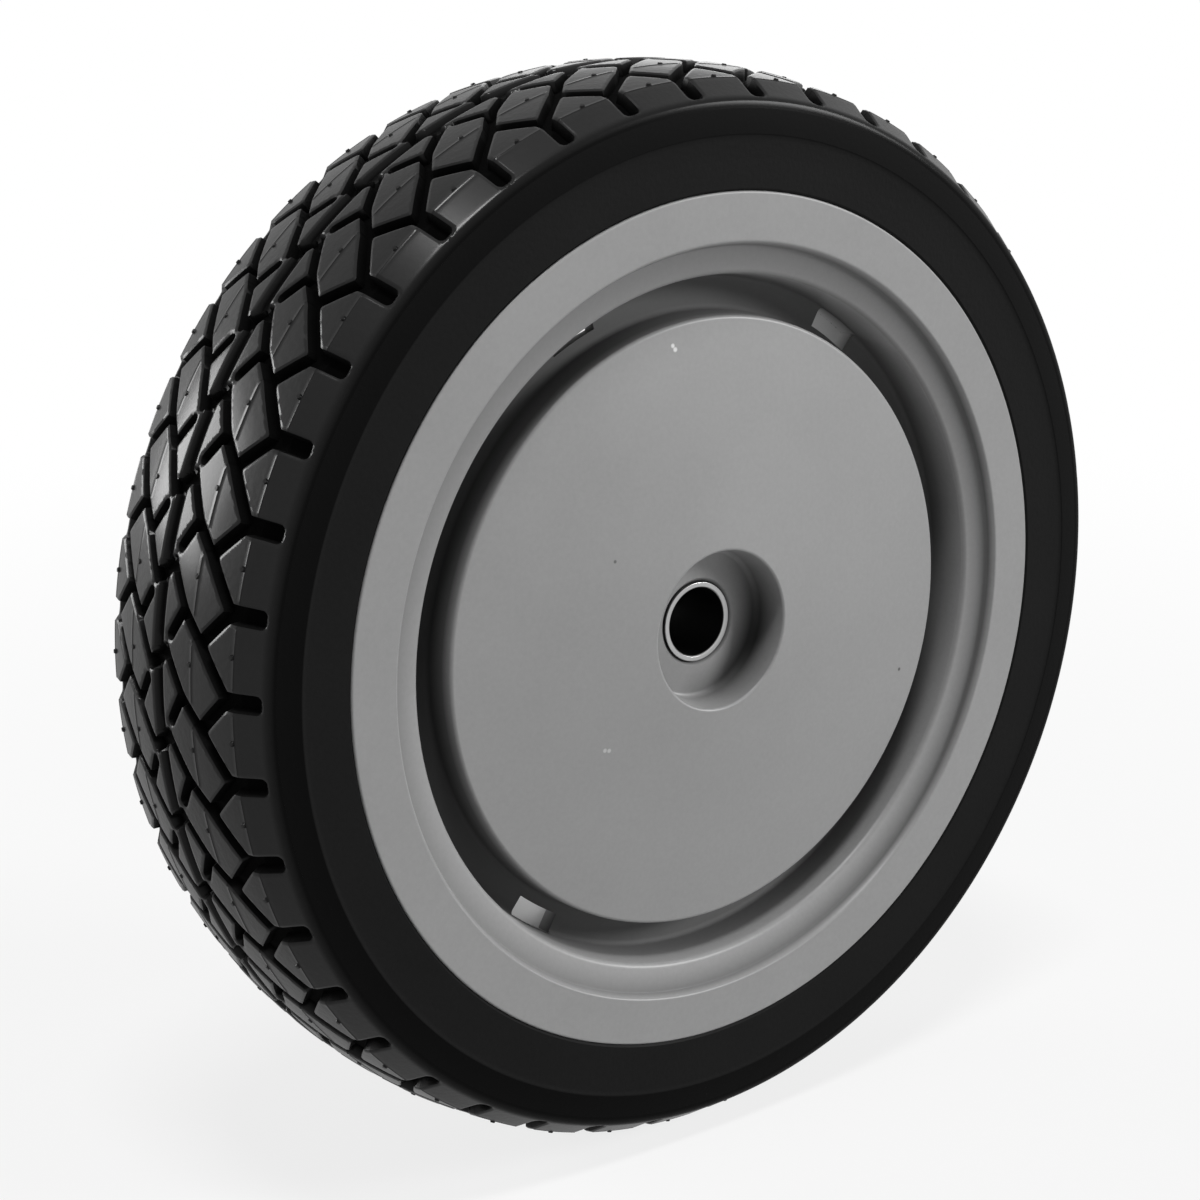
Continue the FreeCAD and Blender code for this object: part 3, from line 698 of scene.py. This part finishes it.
recess_shade *= np.maximum(np.cos(point_turn - RECESS_SHADE_ANGLE), 0)

hub_shade = np.select([in_groove, at_step, on_lip, in_chamfer, in_recess],
                      [groove_shade, step_shade, lip_shade, 1, recess_shade], 0)
hub_moulding = add_mesh("hub_moulding", all_points, all_corners, HUB_SHARP, hub_shade)
print(f"hub shade: {np.count_nonzero(hub_shade)} of {len(hub_shade)} points")
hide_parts("hub")

# %% [markdown]
# ## The sleeve
# A plain steel tube lines the boss, with a small chamfer at each mouth. It is a turned section like the
# hub's. Its bore has the full shade, so that it looks dark, as a deep hole does.

# %% Sleeve
BORE_R = 6.4 * MM
MOUTH = 0.3 * MM
SLEEVE_EDGE = 0.15 * MM
MOUTH_EDGE = 0.08 * MM
SLEEVE_ROUNDS = 120
sleeve_section = rounded_section([
    (BORE_R, RECESS_FLOOR + MOUTH, 0),
    (BORE_R, BACK - MOUTH, 0),
    (BORE_R + MOUTH, BACK, 0),
    (SLEEVE_R, BACK, 0),
    (SLEEVE_R, RECESS_FLOOR, SLEEVE_EDGE),
    (BORE_R + MOUTH, RECESS_FLOOR, MOUTH_EDGE),
])
sleeve_angles = np.linspace(0, 2 * math.pi, SLEEVE_ROUNDS, endpoint=False)
sleeve_points, sleeve_corners = turned_section(sleeve_section, sleeve_angles)
bore_shade = np.hypot(sleeve_points[:, 0], sleeve_points[:, 2]) < BORE_R + MOUTH / 2
sleeve_tube = add_mesh("sleeve_tube", sleeve_points, sleeve_corners, HUB_SHARP, bore_shade)
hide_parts("axle_sleeve")
print(f"sleeve: {len(sleeve_corners)} triangles")

# %% [markdown]
# ## Finishes
# The rubber and the plastic both come out of a mould with a fine grain and slow, cloudy changes of
# tone. That effect is one node group, placed in each material with its own scale; the steel has it too,
# finer and fainter. Each mesh carries a shade, which turns the tone to a deeper one where little light
# comes in, such as in grooves.

# %% Moulded grain group
GRAIN_DETAIL = 2.0
CLOUD_DETAIL = 4.0


def moulded_grain_group():
    """A group with a fine grain height and a slow cloud mask, from a position and two scales."""
    group = bpy.data.node_groups.new("moulded_grain", "ShaderNodeTree")
    group.interface.new_socket("Position", in_out="INPUT", socket_type="NodeSocketVector")
    group.interface.new_socket("Grain Scale", in_out="INPUT", socket_type="NodeSocketFloat")
    group.interface.new_socket("Cloud Scale", in_out="INPUT", socket_type="NodeSocketFloat")
    group.interface.new_socket("Grain", in_out="OUTPUT", socket_type="NodeSocketFloat")
    group.interface.new_socket("Cloud", in_out="OUTPUT", socket_type="NodeSocketFloat")
    entry = group.nodes.new("NodeGroupInput")
    result = group.nodes.new("NodeGroupOutput")
    for output, detail in (("Grain", GRAIN_DETAIL), ("Cloud", CLOUD_DETAIL)):
        noise = group.nodes.new("ShaderNodeTexNoise")
        noise.inputs["Detail"].default_value = detail
        group.links.new(entry.outputs["Position"], noise.inputs["Vector"])
        group.links.new(entry.outputs[f"{output} Scale"], noise.inputs["Scale"])
        group.links.new(noise.outputs["Fac"], result.inputs[output])
    return group


MOULDED_GRAIN = moulded_grain_group()
BUMP_DEPTH = 0.1 * MM
COAT_ROUGH = 0.2


def moulded_material(name, tones, rough, specular, coat, metallic, scales, bump):
    """A Principled material whose tone and roughness drift with the cloud, and whose bump is the grain.

    The tones are the darkest and lightest grey and the grey of the painted shade; rough has two values
    for the cloud and one for the painted shade; the scales are the grain's and the cloud's. The coat,
    a sheen with its own roughness, fades to nothing where shade is painted.
    """
    material = bpy.data.materials.new(name)
    material.use_nodes = True
    nodes, links = material.node_tree.nodes, material.node_tree.links
    shader = nodes["Principled BSDF"]
    shader.inputs["Specular IOR Level"].default_value = specular
    shader.inputs["Metallic"].default_value = metallic
    shader.inputs["Coat Roughness"].default_value = COAT_ROUGH
    place = nodes.new("ShaderNodeTexCoord")
    grain = nodes.new("ShaderNodeGroup")
    grain.node_tree = MOULDED_GRAIN
    grain.inputs["Grain Scale"].default_value = scales[0]
    grain.inputs["Cloud Scale"].default_value = scales[1]
    links.new(place.outputs["Object"], grain.inputs["Position"])
    shade = nodes.new("ShaderNodeAttribute")
    shade.attribute_name = "shade"
    tone = nodes.new("ShaderNodeMix")
    tone.data_type = "RGBA"
    shaded_tone = nodes.new("ShaderNodeMix")
    shaded_tone.data_type = "RGBA"
    for mix, end, grey in ((tone, "A", tones[0]), (tone, "B", tones[1]), (shaded_tone, "B", tones[2])):
        mix.inputs[end].default_value = (grey, grey, grey, 1)
    speckle = nodes.new("ShaderNodeMix")
    links.new(grain.outputs["Cloud"], speckle.inputs["A"])
    links.new(grain.outputs["Grain"], speckle.inputs["B"])
    links.new(speckle.outputs["Result"], tone.inputs["Factor"])
    links.new(shade.outputs["Fac"], shaded_tone.inputs["Factor"])
    links.new(tone.outputs["Result"], shaded_tone.inputs["A"])
    links.new(shaded_tone.outputs["Result"], shader.inputs["Base Color"])
    spread = nodes.new("ShaderNodeMapRange")
    spread.inputs["To Min"].default_value = rough[0]
    spread.inputs["To Max"].default_value = rough[1]
    dull = nodes.new("ShaderNodeMix")
    dull.inputs["B"].default_value = rough[2]
    links.new(grain.outputs["Cloud"], spread.inputs["Value"])
    links.new(shade.outputs["Fac"], dull.inputs["Factor"])
    links.new(spread.outputs["Result"], dull.inputs["A"])
    links.new(dull.outputs["Result"], shader.inputs["Roughness"])
    sheen = nodes.new("ShaderNodeMapRange")
    sheen.inputs["To Min"].default_value = coat
    sheen.inputs["To Max"].default_value = 0
    links.new(shade.outputs["Fac"], sheen.inputs["Value"])
    links.new(sheen.outputs["Result"], shader.inputs["Coat Weight"])
    relief = nodes.new("ShaderNodeBump")
    relief.inputs["Strength"].default_value = bump
    relief.inputs["Distance"].default_value = BUMP_DEPTH
    links.new(grain.outputs["Grain"], relief.inputs["Height"])
    links.new(relief.outputs["Normal"], shader.inputs["Normal"])
    return material


# %% [markdown]
# The tread is black rubber with a faint sheen, and the sidewall is a duller black. The hub is a grey
# plastic and the sleeve is plain steel. All four have the same nodes, so one function makes them.

# %% Rubber, plastic and steel
tread_rubber = moulded_material(
    "tread_rubber", tones=(0.003, 0.009, 0.0006), rough=(0.4, 0.5, 0.9), specular=0.04, coat=0.32,
    metallic=0, scales=(900, 60), bump=0.6)
sidewall_rubber = moulded_material(
    "sidewall_rubber", tones=(0.003, 0.007, 0.0004), rough=(0.45, 0.55, 0.7), specular=0.05, coat=0.02,
    metallic=0, scales=(1100, 50), bump=0.4)
hub_plastic = moulded_material(
    "hub_plastic", tones=(0.21, 0.276, 0.02), rough=(0.36, 0.44, 0.9), specular=0.4, coat=0,
    metallic=0, scales=(1100, 40), bump=0.1)
sleeve_steel = moulded_material(
    "sleeve_steel", tones=(0.35, 0.45, 0.01), rough=(0.26, 0.34, 0.6), specular=0.5, coat=0,
    metallic=1, scales=(1500, 200), bump=0.05)
finishes = (tread_rubber, sidewall_rubber, hub_plastic, sleeve_steel)
print("finishes:", ", ".join(finish.name for finish in finishes))

# %% [markdown]
# The disc has a few small marks: a pale fleck near its top, a pale scuff and two dark specks.
# Each is a soft dot of its own tone round a point on the disc's face, mixed into the plastic's colour,
# because a mark has no height that would show.

# %% Marks on the disc
# each mark's x, z and size in mm, and its grey
MARKS = [
    (-9.0, 52.2, 0.55, 0.6),
    (-9.5, 52.9, 0.5, 0.6),
    (-25.9, -18.3, 0.5, 0.42),
    (-25.0, -18.5, 0.5, 0.42),
    (48.6, -17.1, 0.45, 0.05),
    (-23.9, 16.4, 0.4, 0.09),
]


def add_mark(material, x, z, size, grey):
    """Mixes a soft dot of a grey into a material's base colour, round the disc's face at x, z in mm."""
    nodes, links = material.node_tree.nodes, material.node_tree.links
    base = nodes["Principled BSDF"].inputs["Base Color"]
    slope = (DISC_DEPTH - DISC_TOP) / (DISC_R - RECESS_R)
    depth = DISC_TOP + slope * (math.hypot(x, z) * MM - RECESS_R)
    place = nodes.new("ShaderNodeTexCoord")
    distance = nodes.new("ShaderNodeVectorMath")
    distance.operation = "DISTANCE"
    distance.inputs[1].default_value = (x * MM, depth - RIM_SIDE, z * MM)
    soft = nodes.new("ShaderNodeMapRange")
    soft.inputs["From Min"].default_value = size * MM / 2
    soft.inputs["From Max"].default_value = size * MM
    soft.inputs["To Min"].default_value = 1
    soft.inputs["To Max"].default_value = 0
    mix = nodes.new("ShaderNodeMix")
    mix.data_type = "RGBA"
    mix.inputs["B"].default_value = (grey, grey, grey, 1)
    links.new(place.outputs["Object"], distance.inputs[0])
    links.new(distance.outputs["Value"], soft.inputs["Value"])
    links.new(soft.outputs["Result"], mix.inputs["Factor"])
    links.new(base.links[0].from_socket, mix.inputs["A"])
    links.new(mix.outputs["Result"], base)


for mark in MARKS:
    add_mark(hub_plastic, *mark)
print(f"{len(MARKS)} marks on the disc")

# %% [markdown]
# Each piece gets one finish, and the name of the slot that it stands for in the part's record is printed.


# %% Materials on pieces
def dress(piece, material, slot):
    """Gives a piece its one material and prints the record's slot it stands for."""
    piece.data.materials.append(material)
    print(f"{piece.name}: {material.name}, slot {slot}")


for piece in [*tread_pieces, vent_stubs]:
    dress(piece, tread_rubber, "tyre")
dress(sidewalls, sidewall_rubber, "tyre")
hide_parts("tyre")
dress(hub_moulding, hub_plastic, "hub")
dress(sleeve_tube, sleeve_steel, "axle_sleeve")

# %% [markdown]
# ## Floor, light and camera
# The picture has a white ground, so the floor and the world are white to the camera and in mirrored
# and refracted views, and give little light of their own. Near the wheel the floor's white gives way to
# a share of its real paint, which lets a soft shadow show.


# %% Floor
def in_view(nodes, links):
    """A socket that is 1 for rays from the camera and for mirrored and refracted ones, else 0."""
    path = nodes.new("ShaderNodeLightPath")
    seen = path.outputs["Is Camera Ray"]
    for kind in ("Is Glossy Ray", "Is Transmission Ray"):
        either = nodes.new("ShaderNodeMath")
        either.operation = "MAXIMUM"
        links.new(seen, either.inputs[0])
        links.new(path.outputs[kind], either.inputs[1])
        seen = either.outputs["Value"]
    return seen


FLOOR_HALF = 8.0
SHADOW_NEAR = 0.15
SHADOW_FAR = 0.7
SHADOW_SHARE = 0.2
FLOOR_GREY = 0.65
FLOOR_ROUGH = 0.9
floor_z = tyre_box[0].z
floor_mesh = bpy.data.meshes.new("floor")
floor_corners = [(-1, -1), (1, -1), (1, 1), (-1, 1)]
floor_points = [(FLOOR_HALF * i, FLOOR_HALF * j, floor_z) for i, j in floor_corners]
floor_mesh.from_pydata(floor_points, [], [(0, 1, 2, 3)])
floor = bpy.data.objects.new("floor", floor_mesh)
bpy.context.scene.collection.objects.link(floor)
floor_white = bpy.data.materials.new("floor_white")
floor_white.use_nodes = True
nodes, links = floor_white.node_tree.nodes, floor_white.node_tree.links
paint = nodes["Principled BSDF"]
paint.inputs["Base Color"].default_value = (FLOOR_GREY, FLOOR_GREY, FLOOR_GREY, 1)
paint.inputs["Roughness"].default_value = FLOOR_ROUGH
glow = nodes.new("ShaderNodeEmission")
place = nodes.new("ShaderNodeTexCoord")
away_from_wheel = nodes.new("ShaderNodeVectorMath")
away_from_wheel.operation = "LENGTH"
fade = nodes.new("ShaderNodeMapRange")
fade.interpolation_type = "SMOOTHSTEP"
fade.inputs["From Min"].default_value = SHADOW_NEAR
fade.inputs["From Max"].default_value = SHADOW_FAR
fade.inputs["To Min"].default_value = 1 - SHADOW_SHARE
fade.inputs["To Max"].default_value = 1.0
seen = nodes.new("ShaderNodeMath")
seen.operation = "MULTIPLY"
blend = nodes.new("ShaderNodeMixShader")
links.new(place.outputs["Object"], away_from_wheel.inputs[0])
links.new(away_from_wheel.outputs["Value"], fade.inputs["Value"])
links.new(fade.outputs["Result"], seen.inputs[0])
links.new(in_view(nodes, links), seen.inputs[1])
links.new(seen.outputs["Value"], blend.inputs["Fac"])
links.new(paint.outputs["BSDF"], blend.inputs[1])
links.new(glow.outputs["Emission"], blend.inputs[2])
links.new(blend.outputs["Shader"], nodes["Material Output"].inputs["Surface"])
floor_mesh.materials.append(floor_white)
print(f"floor at {1000 * floor_z:.1f} mm")

# %% World
AMBIENT = 0.06
world = bpy.data.worlds.new("studio")
bpy.context.scene.world = world
world.use_nodes = True
nodes, links = world.node_tree.nodes, world.node_tree.links
ambient = nodes["Background"]
ambient.inputs["Color"].default_value = (1, 1, 1, 1)
ambient.inputs["Strength"].default_value = AMBIENT
white = nodes.new("ShaderNodeBackground")
white.inputs["Color"].default_value = (1, 1, 1, 1)
blend = nodes.new("ShaderNodeMixShader")
links.new(in_view(nodes, links), blend.inputs["Fac"])
links.new(ambient.outputs["Background"], blend.inputs[1])
links.new(white.outputs["Background"], blend.inputs[2])
links.new(blend.outputs["Shader"], nodes["World Output"].inputs["Surface"])

# %% [markdown]
# Four soft boxes light the wheel. The key comes from the front right. The strip overhead gives the
# sheen on the upper shoulder's blocks, and the two boxes behind give the edges of the tread theirs.


# %% Lamps
def softbox(name, place, width, height, power):
    """An area lamp at a place, facing the wheel's centre. Its power is in watts."""
    lamp = bpy.data.lights.new(name, "AREA")
    lamp.shape = "RECTANGLE"
    lamp.size, lamp.size_y = width, height
    lamp.energy = power
    piece = bpy.data.objects.new(name, lamp)
    piece.location = place
    piece.rotation_mode = "QUATERNION"
    piece.rotation_quaternion = (-Vector(place)).to_track_quat("-Z", "Y")
    bpy.context.scene.collection.objects.link(piece)
    print(f"{name}: {power} W at {Vector(place).length:.2f} m")


softbox("key_box", place=(1.55, -1.4, 0.7), width=0.6, height=0.6, power=38)
softbox("overhead_strip", place=(-0.54, -0.72, 2.56), width=0.8, height=0.32, power=44)
softbox("rear_right_box", place=(1.08, 1.3, 0.35), width=0.5, height=0.6, power=2)
softbox("rear_box", place=(-0.9, 1.4, 0.35), width=0.8, height=0.6, power=19)

# %% [markdown]
# The camera looks at the outer face from the left and from a little above. Its place, its lens and its
# shift were found by fitting the hub's circles and the tread's notches.

# %% Camera
CAMERA_AZIMUTH = math.radians(-37.09)
CAMERA_RISE = math.radians(15.81)
CAMERA_PLACE = Vector((-273.84, -348.56, 121.17)) * MM
back = Vector((math.sin(CAMERA_AZIMUTH) * math.cos(CAMERA_RISE),
               -math.cos(CAMERA_AZIMUTH) * math.cos(CAMERA_RISE), math.sin(CAMERA_RISE)))
camera = bpy.data.cameras.new("camera")
camera.sensor_width = 36.0
camera.lens = 72.1
camera.shift_x = 0.0056
camera.shift_y = 0.019
eye = bpy.data.objects.new("camera", camera)
eye.location = CAMERA_PLACE
eye.rotation_mode = "QUATERNION"
eye.rotation_quaternion = (-back).to_track_quat("-Z", "Y")
bpy.context.scene.collection.objects.link(eye)
bpy.context.scene.camera = eye
bpy.context.scene.view_settings.view_transform = "Standard"
print(f"camera {1000 * CAMERA_PLACE.length:.0f} mm from the wheel's centre")
